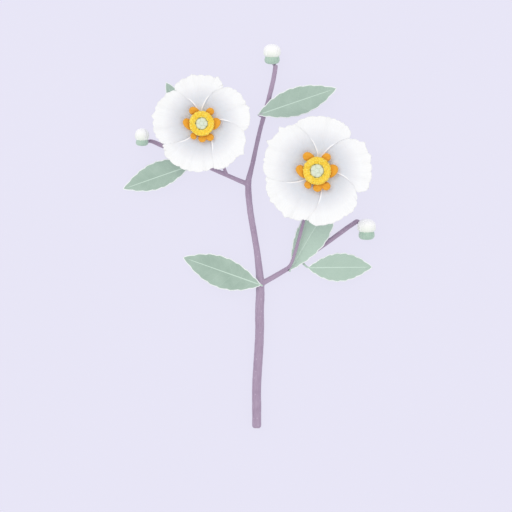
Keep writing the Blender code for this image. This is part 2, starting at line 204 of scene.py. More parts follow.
foot_y = min(v.co.y for v in twig.data.vertices)
foot_ring = [v.co.x for v in twig.data.vertices if v.co.y < foot_y + 1.5 * MM]
foot_x = 0.5 * (min(foot_ring) + max(foot_ring))
normals = [v.normal.copy() for v in twig.data.vertices]
for (vert, value), normal in zip(pattern_of(twig), normals):
    value.vector = normal + vert.co / (25 * MM)
    push = 0.0
    for joint in joints_of_leaves:
        far = (vert.co - joint).length / MM
        if far < SWELLING_REACH:
            push += SWELLING * (0.5 + 0.5 * cos(pi * far / SWELLING_REACH))
    push += 0.10 * noise.noise(vert.co / (4 * MM)) + 0.05 * noise.noise(value.vector * 4)
    vert.co += normal * push * MM
    above_cut = (vert.co.y - foot_y) / MM / CUT_EDGE
    if above_cut < 1:
        shrink = sqrt(1 - 0.62 * min(1 - above_cut, 1.0)**2)
        vert.co.x = foot_x + (vert.co.x - foot_x) * shrink
        vert.co.z = FOOT_RADIUS * MM + (vert.co.z - FOOT_RADIUS * MM) * shrink
    if vert.co.y < foot_y + CUT_FACE_DEPTH * MM:
        vert.co.y = foot_y + (CUT_FACE_DEPTH - 0.02 * noise.noise(vert.co * 3000)) * MM
twig.data.materials.append(young_bark())
twig.data.materials.append(cut_wood())
for face in twig.data.polygons:
    face.use_smooth = True
    if face.normal.y < -0.9 and face.center.y < foot_y + 0.8 * MM:
        face.material_index = 1
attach(twig, "root")
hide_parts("twig")


# ---- Leaves ----------------------------------------------------------------------------------
# Six thin, elliptic leaves, grey-green above and paler below, with a sunken pale midrib, arching
# side veins, a fine toothed edge with a pale horny rim, and a short round stalk. Each stalk grows
# out of the twig and runs on under the blade as the midrib's ridge.

BLADE_THICKNESS = 0.45
TEETH = 8                       # on each side of a blade
TOOTH_DEPTH = 0.6
# Where the stalk starts, and the blade's base and tip. Then, for each half, its greatest width,
# its skew (over 1 when it is widest nearer the tip) and its fullness (less is fuller). Then how
# high the blade arches and folds up, how light it is, and the stalk's share that is mauve. The
# lightness is each leaf's own tone, and on the middle leaf also painted light that cancels the
# shadow of the flowers above it.
LEAVES = {
    "leaf_upper_right": {
        "stalk": (7.75, 78.05, 7.5), "base": (5.75, 78.85, 8.4), "tip": (57.05, 96.35, 4.5),
        "left": (9.8, 0.94, 0.82), "right": (9.7, 1.05, 0.8),
        "arch": 2.0, "fold": 1.3, "tone": 0.25, "blush": 0.9},
    "leaf_upper_left": {
        "stalk": (-30.05, 50.35, 4.6), "base": (-30.9, 51.6, 4.2), "tip": (-54.0, 100.4, 1.6),
        "left": (9.6, 0.85, 0.85), "right": (9.6, 1.2, 0.85),
        "arch": 1.2, "fold": 1.3, "tone": 0.3, "blush": 0.5},
    "leaf_left": {
        "stalk": (-34.15, 46.25, 4.6), "base": (-36.35, 46.55, 4.9), "tip": (-81.95, 30.75, 1.2),
        "left": (8.2, 1.05, 0.9), "right": (10.2, 0.89, 0.83),
        "arch": 2.5, "fold": 1.3, "tone": 0.1, "blush": 0.5},
    "leaf_lower_left": {
        "stalk": (8.75, -32.25, 7.1), "base": (8.15, -31.55, 7.7), "tip": (-42.85, -13.55, 1.4),
        "left": (11.4, 0.95, 0.83), "right": (9.8, 1.06, 0.8),
        "arch": 1.5, "fold": 1.3, "tone": 0.0, "blush": 0.8},
    "leaf_middle": {
        "stalk": (26.95, -23.15, 5.9), "base": (26.45, -21.95, 6.3), "tip": (54.45, 25.05, 6.2),
        "left": (10.2, 1.12, 0.86), "right": (11.3, 1.15, 0.68),
        "arch": 0.2, "fold": 0.6, "tone": 1.0, "blush": 0.7},
    "leaf_lower_right": {
        "stalk": (35.05, -17.55, 3.5), "base": (38.25, -20.25, 4.6), "tip": (80.25, -19.95, 1.4),
        "left": (9.8, 1.04, 0.8), "right": (9.6, 0.92, 0.83),
        "arch": 2.0, "fold": 1.3, "tone": 0.6, "blush": 0.15},
}


def sheet(name, columns, rows, place, *finishes):
    """A grid whose vertices go where place(across, along) says, both running from 0 to 1.

    place also gives the three numbers of the pattern. The first finish covers the sheet, and a
    second one is for the face that it gains when it is thickened.
    """
    bpy.ops.mesh.primitive_grid_add(x_subdivisions=columns, y_subdivisions=rows, size=1.0)
    piece = bpy.context.active_object
    piece.name = piece.data.name = name
    for vert, value in pattern_of(piece):
        spot, value.vector = place(vert.co.x + 0.5, vert.co.y + 0.5)
        vert.co = Vector(spot) * MM
    piece.data.shade_smooth()
    for finish in finishes:
        piece.data.materials.append(finish)
    return piece


def stalk(name, points, finish):
    """A round, tapering stalk along points of (x, y, z, radius), made as a curve with a bevel.

    Its pattern is nought all over until it is set.
    """
    curve = bpy.data.curves.new(name, "CURVE")
    curve.dimensions = "3D"
    curve.bevel_depth = MM
    curve.bevel_resolution = 4      # twelve sides
    curve.use_fill_caps = True
    curve.resolution_u = 6
    line = curve.splines.new("NURBS")
    line.points.add(len(points) - 1)
    for point, (x, y, z, radius) in zip(line.points, points):
        point.co = (x * MM, y * MM, z * MM, 1.0)
        point.radius = radius
    line.order_u = 3
    line.use_endpoint_u = True
    piece = bpy.data.objects.new(name, curve)
    bpy.context.scene.collection.objects.link(piece)
    work_on(piece)
    bpy.ops.object.convert(target="MESH")
    piece = bpy.context.active_object
    piece.data.attributes.new("pattern", "FLOAT_VECTOR", "POINT")
    piece.data.shade_smooth()
    piece.data.materials.append(finish)
    return piece


def join(*pieces):
    """Join pieces into the first one."""
    work_on(*pieces)
    bpy.ops.object.join()
    return pieces[0]


def smooth_step(t):
    """Ease from 0 to 1 as t goes from 0 to 1."""
    t = min(max(t, 0.0), 1.0)
    return t * t * (3 - 2 * t)


def half_width(share, widest, skew, full):
    """Half a blade's width at a share of its length, with teeth that lean towards the tip."""
    smooth = widest * sin(pi * min(max(share, 0.0), 1.0)**skew)**full
    tooth = share * TEETH % 1.0
    rise = (tooth / 0.7)**0.8 if tooth < 0.7 else (1 - tooth) / 0.3
    depth = TOOTH_DEPTH * min(1.0, 3.5 * sin(pi * share))
    return max(smooth - depth * (1 - rise), 0.12)


def coordinates(finish):
    """The place on the piece, and its pattern's three numbers as X, Y and Z."""
    place = add_node(finish, "TexCoord")
    pattern = add_node(finish, "Attribute", {"attribute_name": "pattern"})
    parts = add_node(finish, "SeparateXYZ", links={"Vector": pattern.outputs["Vector"]})
    return place.outputs["Object"], parts.outputs


def veins(finish, number, apart, reach, strength=1.0, **settings):
    """Lines where a number of the pattern is a multiple of apart, each fading out over reach."""
    between = add_node(finish, "Math", {"operation": "PINGPONG", 1: apart / 2}, {0: number})
    return add_node(finish, "MapRange", {"From Min": reach, "From Max": 0.0, "To Max": strength,
                                         **settings}, {"Value": between})


def leaf_skin(name, under):
    """A leaf's skin: waxy and smooth above, duller and paler below, with its veins.

    The pattern's numbers are the side veins' count along the blade, the distance from the midrib
    and the distance from the edge, in millimetres.
    """
    skin = new_finish(name, Roughness=0.6 if under else 0.5, Sheen_Weight=0.2 if under else 0.05,
                      Specular_IOR_Level=0.3 if under else 0.4)
    place, parts = coordinates(skin)
    tone = add_node(skin, "Attribute", {"attribute_name": "tone"}).outputs["Fac"]
    # The side veins are 0.5 mm wide lines about 6 mm apart, and the net between them has
    # meshes of 1.3 mm.
    side_vein = veins(skin, parts["X"], 1.0, 0.06, interpolation_type="SMOOTHSTEP")
    net = add_node(skin, "TexVoronoi", {"feature": "DISTANCE_TO_EDGE", "Scale": 760.0},
                   {"Vector": place})
    net_line = add_node(skin, "MapRange", {"From Min": 0.12, "From Max": 0.0}, {"Value": net})
    clouds = add_node(skin, "TexNoise", {"Scale": 110.0, "Detail": 3.0}, {"Vector": place})
    dark, light = ("#AFC5B5", "#B8CDBD") if under else ("#9AB1A1", "#A8BEAE")
    shade = add_node(skin, "ValToRGB", {"stops": [(0.3, dark), (0.7, light)]}, {"Fac": clouds})
    net_faint = add_node(skin, "Math", {"operation": "MULTIPLY", 1: 0.10}, {0: net_line})
    vein_faint = add_node(skin, "Math", {"operation": "MULTIPLY", 1: 0.6 if under else 0.18},
                          {0: side_vein})
    midrib = add_node(skin, "MapRange", {"From Min": 0.55, "From Max": 0.28},
                      {"Value": parts["Y"]})
    rim = add_node(skin, "MapRange", {"From Min": 0.8, "From Max": 0.4}, {"Value": parts["Z"]})
    # The first layer lightens each leaf: its own tone, and on the middle leaf painted light that
    # cancels the shadow the flowers cast on it.
    for share, lighter in ((tone, "#B5CCBB"), (net_faint, "#C8DCCE"), (vein_faint, "#C4DACB"),
                           (midrib, "#CBE0D0"), (rim, "#F1F4F2")):
        shade = add_node(skin, "MixRGB", {"Color2": colour(lighter)},
                         {"Fac": share, "Color1": shade}, feeds="Base Color")
    raised = add_node(skin, "Math", {"operation": "MULTIPLY_ADD", 1: 0.3},
                      {0: net_line, 2: side_vein})
    add_node(skin, "Bump", {"Strength": 0.35, "Distance": 0.2 * MM, "invert": not under},
             {"Height": raised}, feeds="Normal")
    return skin


def leaf_stalk_skin():
    """A leaf stalk's skin: smooth, flushed with the twig's mauve, pale green under the blade."""
    skin = new_finish("leaf_stalk_skin", Roughness=0.55, Specular_IOR_Level=0.35)
    place, parts = coordinates(skin)
    grain = add_node(skin, "TexNoise", {"Scale": 420.0, "Detail": 3.0}, {"Vector": place})
    mauve, green = (
        add_node(skin, "ValToRGB", {"stops": [(0.3, dark), (0.7, light)]}, {"Fac": grain})
        for dark, light in (("#A48FA8", "#B6A2BA"), ("#B7CDBD", "#C9DDCE")))
    add_node(skin, "MixRGB", links={"Fac": parts["X"], "Color1": mauve, "Color2": green},
             feeds="Base Color")
    add_node(skin, "Bump", {"Strength": 0.3, "Distance": 0.1 * MM}, {"Height": grain},
             feeds="Normal")
    return skin


leaf_skins = [leaf_skin("leaf_upper_skin", under=False), leaf_skin("leaf_underside", under=True)]
stalk_skin = leaf_stalk_skin()

for number, (node, size) in enumerate(LEAVES.items()):
    start, base, tip = (Vector(size[key]) for key in ("stalk", "base", "tip"))
    aside = Vector((-(tip - base).y, (tip - base).x, 0.0)).normalized()

    def spine(share):
        return base.lerp(tip, share) + Vector((0, 0, size["arch"] * 4 * share * (1 - share)))

    def blade(across, along):
        """The blade folds up along its midrib, turns down again at its edge and waves a little."""
        side = 1 - 2 * across
        widest, skew, full = size["left"] if side > 0 else size["right"]
        half = half_width(along, widest, skew, full)
        wide = half / widest
        lift = size["fold"] * wide * (abs(side)**1.3 - 0.28 * abs(side)**4)
        wave = 0.30 * sin(2 * pi * (2.3 * along + 0.37 * number) + 1.3 * side) * side**2 * wide
        groove = 0.14 * exp(-(side * half / 0.5)**2) * wide
        spot = spine(along) + aside * side * half + Vector((0, 0, lift + wave - groove))
        vein = TEETH * along - 0.95 * abs(side)**1.15 * wide
        rib = abs(side) * half * (1 + 1.2 * along)
        rib += 5 * max(0.0, along - 0.87) + 8 * max(0.0, 0.05 - along)
        return spot, (vein, rib, (1 - abs(side)) * half)

    leaf = sheet(node + "_blade", 28, 96, blade, *leaf_skins)
    tone = leaf.data.attributes.new("tone", "FLOAT", "POINT")
    tone.data.foreach_set("value", [size["tone"]] * len(leaf.data.vertices))
    apply_modifier(leaf, "SOLIDIFY", thickness=BLADE_THICKNESS * MM, offset=0.0, material_offset=1)
    root, outwards = twig_surface.find_nearest(start * MM)[:2]
    root, outwards = root / MM, outwards.normalized()
    route = [(*(root - outwards * 0.4), 0.95), (*(root + outwards * 0.25), 0.8),
             (*start.lerp(base, 0.5), 0.62), (*(base - Vector((0, 0, 0.1))), 0.55)]
    route += [(*(spine(share) - Vector((0, 0, 0.28))), 0.5 * (1 - share)**0.8 + 0.06)
              for share in (0.08, 0.2, 0.35, 0.5, 0.65, 0.8, 0.93)]
    ridge = stalk(node + "_stalk", route, stalk_skin)
    for vert, value in pattern_of(ridge):
        along = (vert.co / MM - root).length / (base - root).length
        value.vector = (smooth_step((along - size["blush"]) / 0.4 + 0.5), 0.0, 0.0)
    join(leaf, ridge)
    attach(leaf, "root")
    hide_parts(node)


# ---- Calyxes ---------------------------------------------------------------------------------
# Behind each open flower: the swollen end of the stalk, which carries the flower's parts, and five
# thick, rounded green sepals round it. They overlap a little and are covered in short silky down.

# turn is the first petal's direction, and lean the distance that the rim leans to the side.
# notches says, for each seam between two petals, how many degrees the rim is pulled round there
# and how deep the notch is. rim lists the outline's bumps as (direction, height, half width in
# degrees).
FLOWERS = {
    "upper_flower": {
        "turn": 97.0, "seed": 3, "lean": (0.05, -0.2),
        "notches": ((-3, 1.1), (2, 1.0), (7, 0.65), (-1, 1.3), (-4, 1.4)),
        "rim": ((18, 1.4, 4), (71, 1.5, 5), (101, 1.6, 4), (146, -1.2, 9), (171, 1.4, 4),
                (214, -1.2, 8), (300, 0.8, 14), (324, 2.2, 6))},
    "lower_flower": {
        "turn": 78.5, "seed": 11, "lean": (0.0, 0.0),
        "notches": ((0, 0.6), (1, 0.6), (-1, 0.95), (-3, 1.8), (0, 1.5)),
        "rim": ((16, 1.1, 5), (31, 2.2, 5), (131, 2.4, 5), (149, 2.7, 5), (194, -1.2, 8),
                (213, 1.0, 4), (235, 1.4, 5), (269, 1.3, 5), (300, -0.8, 14), (340, 1.5, 5))},
}
PISTIL_SHARE = 0.129            # the pistil's radius as a share of the flower's
for name, flower in FLOWERS.items():
    low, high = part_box(name + "_pistil")
    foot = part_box(name + "_calyx")[0]
    flower["radius"] = (high.x - low.x) / 2 / MM / PISTIL_SHARE
    flower["centre"] = Vector(((low.x + high.x) / 2, (low.y + high.y) / 2, foot.z)) / MM

SEPAL_START = 2.4               # from the flower's middle
SEPAL_REACH = 9.3
SEPAL_HALF_ANGLE = radians(47)
SEPAL_THICKNESS = 0.55
SEPAL_CLEARANCE = 1.25          # from the petals' middle surface down to the sepals' own


def bowl(share, radius):
    """Height of the petals' middle surface over the calyx's foot."""
    return 3.4 + 0.34 * radius * (share**1.6 - 0.25 * share**4)


def layer_step(share):
    """Height between the two petals of an overlap: it grows towards the ruffled rim."""
    return 1.2 + 1.8 * share**2


def sepal_skin():
    """Sepal skin: thick, matt, sea-green, with lengthwise veins under short pale down."""
    skin = new_finish("sepal_skin", Roughness=0.7, Specular_IOR_Level=0.3, Sheen_Weight=0.8,
                      Sheen_Roughness=0.35, Sheen_Tint=colour("#F2F8F4"))
    place, parts = coordinates(skin)
    # Veins are 1.4 mm apart at the sepal's middle; the down is a grain of 0.25 mm.
    vein = veins(skin, parts["X"], 1.0, 0.2, strength=0.35)
    down = add_node(skin, "TexNoise", {"Scale": 2400.0, "Detail": 2.0}, {"Vector": place})
    clouds = add_node(skin, "TexNoise", {"Scale": 200.0, "Detail": 2.0}, {"Vector": place})
    green = add_node(skin, "ValToRGB", {"stops": [(0.3, "#A7C1AF"), (0.7, "#B8CEBD")]},
                     {"Fac": clouds})
    veined = add_node(skin, "MixRGB", {"Color2": colour("#93B8A6")}, {"Fac": vein, "Color1": green})
    rim = add_node(skin, "MapRange", {"From Min": 0.5, "From Max": 0.0, "To Max": 0.7},
                   {"Value": parts["Z"]})
    add_node(skin, "MixRGB", {"Color2": colour("#D3E4D8")}, {"Fac": rim, "Color1": veined},
             feeds="Base Color")
    add_node(skin, "Bump", {"Strength": 0.5, "Distance": 0.12 * MM}, {"Height": down},
             feeds="Normal")
    return skin


def along_profile(profile, share):
    """The radius, height and slope at a share of the way along a profile of (radius, height)."""
    steps = [0.0]
    for (r0, z0), (r1, z1) in zip(profile, profile[1:]):
        steps.append(steps[-1] + hypot(r1 - r0, z1 - z0))
    reach = share * steps[-1]
    index = max(i for i, step in enumerate(steps[:-1]) if step <= reach)
    t = (reach - steps[index]) / (steps[index + 1] - steps[index])
    (r0, z0), (r1, z1) = profile[index], profile[index + 1]
    return r0 + (r1 - r0) * t, z0 + (z1 - z0) * t, atan2(z1 - z0, r1 - r0)


def turned(name, sides, profile, finish, shape=None):
    """A closed solid of revolution about Z from a profile, smooth in between.

    shape may move a point: it is called with the point's angle, radius and height.
    """
    def place(across, along):
        r, z = along_profile(profile, along)[:2]
        angle = 2 * pi * across
        if shape:
            r, z = shape(angle, r, z)
        return (r * cos(angle), r * sin(angle), z), (sides * across / 8, along, 9.0)

    piece = sheet(name, sides, 4 * (len(profile) - 1), place, finish)
    weld(piece)
    return piece


def weld(piece):
    """Merge a wrapped sheet's seam and poles and turn its faces outwards."""
    work_on(piece)
    bpy.ops.object.mode_set(mode="EDIT")
    bpy.ops.mesh.select_all(action="SELECT")
    bpy.ops.mesh.remove_doubles(threshold=0.002 * MM)
    bpy.ops.mesh.normals_make_consistent(inside=False)
    bpy.ops.object.mode_set(mode="OBJECT")


def put(piece, centre, turn=0.0):
    """Turn a piece made at the origin about Z and set it down at centre, in its mesh."""
    piece.data.transform(Matrix.Translation(Vector(centre) * MM) @ Matrix.Rotation(turn, 4, "Z"))


sepal_finish = sepal_skin()
for name, flower in FLOWERS.items():
    radius = flower["radius"]
    receptacle = turned(name + "_receptacle", 40, [
        (0.0, 0.0), (1.5, 0.0), (2.2, 0.25), (3.4, 0.9), (4.4, 1.4), (4.6, 1.9), (3.6, 2.6),
        (3.0, 3.2), (2.8, 4.5), (2.3, 4.7), (0.0, 4.7)], sepal_finish)
    sepals = []
    for number in range(5):
        middle = 2 * pi * number / 5 + 0.3
        level = (0.0, -0.38, 0.06, -0.42, -0.2)[number]

        def sepal(across, along):
            """A broad, cupped sepal with a rounded end, a little pinched at its tip."""
            side = 2 * across - 1
            outline = sqrt(max(1 - abs(side)**2.6, 0.0))
            reach = SEPAL_START + (SEPAL_REACH - SEPAL_START) * along * (0.52 + 0.48 * outline)
            angle = middle + side * SEPAL_HALF_ANGLE * (0.8 + 0.2 * along)
            share = reach / radius
            under = bowl(share, radius) - 0.5 * layer_step(share) - SEPAL_CLEARANCE
            height = min(under, 0.9 + 0.32 * (reach - SEPAL_START))
            height += level * along - 0.12 * (1 - side**2)
            height += 0.16 * noise.noise(Vector((reach * 0.6, angle * 3, number)))
            edge = min((1 - along) * 6, (1 - abs(side)) * reach * 0.8)
            return (reach * cos(angle), reach * sin(angle), height), (side * 4.5, along, edge)

        piece = sheet(f"{name}_sepal_{number + 1}", 28, 16, sepal, sepal_finish)
        piece.data.flip_normals()
        apply_modifier(piece, "SOLIDIFY", thickness=SEPAL_THICKNESS * MM, offset=0.0)
        sepals.append(piece)
    calyx = join(receptacle, *sepals)
    calyx.name = name + "_sepals"
    put(calyx, flower["centre"])
    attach(calyx, "root")
    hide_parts(name + "_calyx")


# ---- Petals ----------------------------------------------------------------------------------
# Five broad white petals a flower, thin as paper and crinkled like silk, joined only at their
# narrow bases. Their scalloped, ruffled rims stay white, and painted shade turns the bowl
# grey-lilac inwards, with a painted highlight along each free edge. Each lies partly over the next:
# the first over both its neighbours, the second under both.

PETAL_THICKNESS = 0.25
PETAL_BASE_RADIUS = 3.4
CLAW_HALF_WIDTH = 1.3
SCALLOPED_SPAN = 80             # degrees to either side of a petal's axis


def free_edge(share, radius):
    """Angle from a petal's axis to its free edge, which narrows to a claw at the base."""
    claw = degrees(asin(CLAW_HALF_WIDTH / (share * radius)))
    return max(2 + 34 * (share - 0.1) / 0.82, claw)


def covered_edge(share, radius):
    """Angle from a petal's axis to the edge that its neighbour covers."""
    return min(75 - free_edge(share, radius) + 20 * (share - 0.3), 68.5)


# An edge's angle, how far the rim is cut back at its corner, and whether it lies above or below.
FREE = {"edge": free_edge, "corner": 0.07, "level": 0.5}
COVERED = {"edge": covered_edge, "corner": 0.12, "level": -0.5}


def petal_step(share):
    """Height between two overlapping petals as they grew: they hug each other at the rim."""
    return 0.95 - 0.6 * smooth_step((share - 0.35) / 0.35)


def scallops(seed):
    """The rim of a petal as a list of (start, end, depth) of its uneven little bays, in degrees."""
    chance = random.Random(seed)
    bays = []
    start = -SCALLOPED_SPAN
    while start < SCALLOPED_SPAN:
        width = chance.choice((5.0, 7.0, 9.5, 13.0)) * chance.uniform(0.85, 1.15)
        bays.append((start, start + width, chance.uniform(0.4, 1.3)))
        start += width
    return bays


def petal_face(name, back):
    """A petal's face: soft, matt and white, with fine veins fanning out from its base.

    The pattern's numbers are the angle across the petal, the share of the flower's radius and the
    distance from a free edge in millimetres.
    """
    face = new_finish(name, Roughness=0.7, Specular_IOR_Level=0.25, Sheen_Roughness=0.35,
                      Sheen_Weight=0.35 if back else 0.2)
    place, parts = coordinates(face)
    # Painted shade: the front's white goes grey-lilac from the rim in towards the base, standing
    # for the shade in the bowl's hollow. The back's ramp is its own colour.
    shades = [(0.0, "#E8EEE8"), (0.3, "#E6EDF3"), (0.42, "#DAE0E7"), (0.52, "#DCE0E5"),
              (0.66, "#E9EAEC"), (0.8, "#F3F4F3"), (1.0, "#F5F5F2")]
    if back:
        shades = [(0.0, "#CFDCC6"), (0.2, "#E3E9DF"), (0.5, "#ECEDEC"), (0.85, "#F3F3F4")]
    white = add_node(face, "ValToRGB", {"stops": shades}, {"Fac": parts["Y"]})
    # Veins fan out 3 degrees apart, 1 mm at mid-petal, and stray a little as they run.
    stray = add_node(face, "TexNoise", {"Scale": 130.0, "Detail": 2.0}, {"Vector": place})
    strayed = add_node(face, "Math", {"operation": "MULTIPLY_ADD", 1: 9.0},
                       {0: stray, 2: parts["X"]})
    vein = veins(face, strayed, 3.0, 0.6)
    faint = add_node(face, "Math", {"operation": "MULTIPLY", 1: 0.05}, {0: vein})
    veined = add_node(face, "MixRGB", {"Color2": colour("#C4C8D4")},
                      {"Fac": faint, "Color1": white})
    # Painted highlight: front and back go pure white along a free edge, fading out past mid-petal.
    edge = add_node(face, "MapRange", {"From Min": 0.95, "From Max": 0.45}, {"Value": parts["Z"]})
    add_node(face, "MixRGB", {"Color2": colour("#FFFFFF")}, {"Fac": edge, "Color1": veined},
             feeds="Base Color")
    crinkle = add_node(face, "TexNoise", {"Scale": 420.0, "Detail": 3.0}, {"Vector": place})
    relief = add_node(face, "Math", {"operation": "MULTIPLY_ADD", 1: 0.35}, {0: vein, 2: crinkle})
    add_node(face, "Bump", {"Strength": 0.25, "Distance": 0.2 * MM}, {"Height": relief},
             feeds="Normal")
    return face


petal_faces = [petal_face("petal_face", back=False), petal_face("petal_back", back=True)]
for name, flower in FLOWERS.items():
    radius = flower["radius"]
    chance = random.Random(flower["seed"])
    waves = [(count, tall, chance.uniform(0, 2 * pi))
             for count, tall in ((12, 0.7), (21, 0.45), (37, 0.2))]
    for number in range(1, 6):
        axis = flower["turn"] + (number - 1) * 72
        clockwise = COVERED if number == 2 else FREE
        other = FREE if number == 1 else COVERED
        clockwise_span = clockwise["edge"](1, radius)
        span = clockwise_span + other["edge"](1, radius)
        bays = scallops(flower["seed"] * 10 + number)
        clockwise_seam, other_seam = flower["notches"][number - 2], flower["notches"][number - 1]

        def petal(across, along):
            """A petal spread from claw to rim, stepped over its neighbours and ruffled."""
            turn = (1 - across) * span - clockwise_span
            side, (shift, notch) = (clockwise, clockwise_seam) if turn < 0 else (other, other_seam)
            rim = radius * (1 - side["corner"] * notch * abs(turn / 36)**4)
            reach = PETAL_BASE_RADIUS + (rim - PETAL_BASE_RADIUS) * along
            share = reach / radius
            start = axis - clockwise["edge"](share, radius)
            end = axis + other["edge"](share, radius)
            angle = start + (end - start) * (1 - across)
            angle += shift * min(abs(turn / 36), 1.3)**2 * smooth_step((share - 0.6) / 0.35)
            rise = other["level"] - clockwise["level"]
            level = clockwise["level"] + rise * smooth_step(((1 - across) - 0.25) / 0.5)
            height = bowl(share, radius) + level * petal_step(share)
            ruffle = sum(tall * sin(radians(count * angle) + phase) for count, tall, phase in waves)
            height += ruffle * smooth_step((share - 0.5) / 0.5)
            height += 0.2 * noise.noise(Vector((angle * 0.16, reach * 0.22, flower["seed"])))
            for place, out, spread in flower["rim"]:
                off = abs((angle - place + 180) % 360 - 180) / spread
                reach += out * max(0.0, 1 - off)**1.5 * along**12
            for bay_start, bay_end, depth in bays:
                if bay_start <= turn < bay_end:
                    t = (turn - bay_start) / (bay_end - bay_start)
                    reach += (0.1 - depth * (1 - sin(pi * t)**0.6)) * along**9
            free = 99.0
            if clockwise is FREE:
                free = min(free, radians(angle - start) * reach)
            if other is FREE:
                free = min(free, radians(end - angle) * reach)
            height += 0.16 * exp(-(free / 0.9)**2) * smooth_step((0.8 - share) / 0.3)
            lean_x, lean_y = (lean * share**2 for lean in flower["lean"])
            x, y = reach * cos(radians(angle)) + lean_x, reach * sin(radians(angle)) + lean_y
            # The third number grows past 0.55 of the radius, so the painted highlight on the free
            # edge fades out there.
            return (x, y, height), (angle, share, free + 8 * max(0.0, share - 0.55))

        piece = sheet(f"{name}_petal_{number}_silk", 112, 44, petal, *petal_faces)
        apply_modifier(piece, "SOLIDIFY", thickness=PETAL_THICKNESS * MM, offset=0.0,
                       material_offset=1)
        put(piece, flower["centre"])
        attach(piece, "root")
        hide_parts(f"{name}_petal_{number}")


# ---- Stamens ---------------------------------------------------------------------------------
# A dense ring of golden stamens: their filaments are grown together in a fluted tube, which flares
# out, and every one ends in a tiny pollen-covered anther. The anthers lie packed on the ring.

STAMEN_INNER = 0.139            # shares of the flower's radius
STAMEN_TUBE = 0.175
STAMEN_RING = 0.253
FLUTES = 56
GRAIN_STEP = 0.92               # from one anther to the next


def pollen_gold(name, dark, mid, light, roughness=0.75):
    """Dry, powdery anthers full of pollen: matt and warm. The pattern's first number picks the
    gold:
    a random tint on each small anther, painted shade and light on each big one.
    """
    gold = new_finish(name, Roughness=roughness, Specular_IOR_Level=0.25, Sheen_Weight=0.25,
                      Sheen_Roughness=0.5)
    place, parts = coordinates(gold)
    # Pollen is a grain of 0.2 mm, several times coarser than the real dust, so that it shows.
    dust = add_node(gold, "TexNoise", {"Scale": 2600.0, "Detail": 3.0, "Roughness": 0.7},
                    {"Vector": place})
    mixed = add_node(gold, "Mix", {0: 0.5}, {2: dust, 3: parts["X"]})
    add_node(gold, "ValToRGB", {"stops": [(0.2, dark), (0.5, mid), (0.8, light)]},
             {"Fac": mixed}, feeds="Base Color")
    add_node(gold, "Bump", {"Strength": 0.5, "Distance": 0.08 * MM}, {"Height": dust},
             feeds="Normal")
    return gold


filament_gold = pollen_gold("filament_gold", "#F6C63C", "#FBD244", "#FFDA56", roughness=0.6)
anther_gold = pollen_gold("pollen_yellow", "#FBD238", "#FFE14A", "#FFEA70")

bpy.ops.mesh.primitive_uv_sphere_add(segments=8, ring_count=6, radius=1.0)
grain = bpy.context.active_object
grain.name = "anther_grain"
for vert in grain.data.vertices:
    groove = 0.3 * exp(-(vert.co.y / 0.35)**2) if vert.co.z > 0 else 0.0
    vert.co = Vector((vert.co.x * 0.68, vert.co.y * 0.44, (vert.co.z - groove) * 0.38)) * MM

for name, flower in FLOWERS.items():
    radius = flower["radius"]
    inner, tube, ring = (share * radius for share in (STAMEN_INNER, STAMEN_TUBE, STAMEN_RING))
    middle = 0.5 * (inner + ring)
    share = tube / radius
    foot = bowl(share, radius) + 0.5 * layer_step(share) + 0.7

    def flutes(angle, r, z):
        rise = smooth_step((r - tube + 0.5) / 0.8) * smooth_step((foot + 5.6 - z) / 1.0)
        return r + 0.16 * cos(FLUTES * angle) * rise, z

    column = turned(name + "_column", 4 * FLUTES, [
        (inner, foot), (tube, foot), (tube, foot + 1.4), (ring - 1.4, foot + 3.4),
        (ring - 0.4, foot + 4.6), (ring - 0.7, foot + 5.3), (middle + 0.8, foot + 6.0),
        (middle - 0.6, foot + 5.9), (inner + 0.1, foot + 4.9), (inner, foot)],
        filament_gold, flutes)

    chance = random.Random(flower["seed"])
    crown = [(inner + 0.15, foot + 5.2), (middle - 0.3, foot + 6.0), (middle + 0.8, foot + 6.1),
             (ring - 0.75, foot + 5.45), (ring - 0.35, foot + 4.5)]
    length = sum(hypot(b[0] - a[0], b[1] - a[1]) for a, b in zip(crown, crown[1:]))
    rows = round(length / GRAIN_STEP)
    bm = bmesh.new()
    layer = bm.verts.layers.float_vector.new("pattern")
    for row in range(rows + 1):
        r, z, slope = along_profile(crown, row / rows)
        count = round(2 * pi * r / GRAIN_STEP)
        for spot in range(count):
            angle = 2 * pi * (spot + 0.5 * (row % 2) + chance.uniform(-0.2, 0.2)) / count
            lift = chance.uniform(0.0, 0.35)
            seat = Vector((r - lift * sin(slope), 0, z + lift * cos(slope))) * MM
            place = (Matrix.Rotation(angle, 4, "Z") @ Matrix.Translation(seat)
                     @ Matrix.Rotation(-slope + chance.uniform(-0.3, 0.3), 4, "Y")
                     @ Matrix.Rotation(chance.uniform(-0.8, 0.8), 4, "Z")
                     @ Matrix.Scale(chance.uniform(0.88, 1.12), 4))
            first = len(bm.verts)
            bm.from_mesh(grain.data)
            bm.verts.ensure_lookup_table()
            tint = chance.uniform(0.0, 1.0)
            for vert in bm.verts[first:]:
                vert.co = place @ vert.co
                vert[layer] = (tint, 0.0, 0.0)
    mesh = bpy.data.meshes.new(name + "_crown")
    bm.to_mesh(mesh)
    bm.free()
    mesh.shade_smooth()
    mesh.materials.append(anther_gold)
    crown_piece = bpy.data.objects.new(name + "_crown", mesh)
    bpy.context.scene.collection.objects.link(crown_piece)
    stamens = join(column, crown_piece)
    stamens.name = name + "_stamen_ring"
    put(stamens, flower["centre"])
    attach(stamens, "root")
    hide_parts(name + "_stamens")
bpy.data.objects.remove(grain)


# ---- Anthers ---------------------------------------------------------------------------------
# Seven large orange anthers stand out round the ring. Each is a plump double pouch of pollen with
# a furrow between its halves and a tail that bends sideways onto the ring, on a short filament that
# runs out from the tube under the ring.

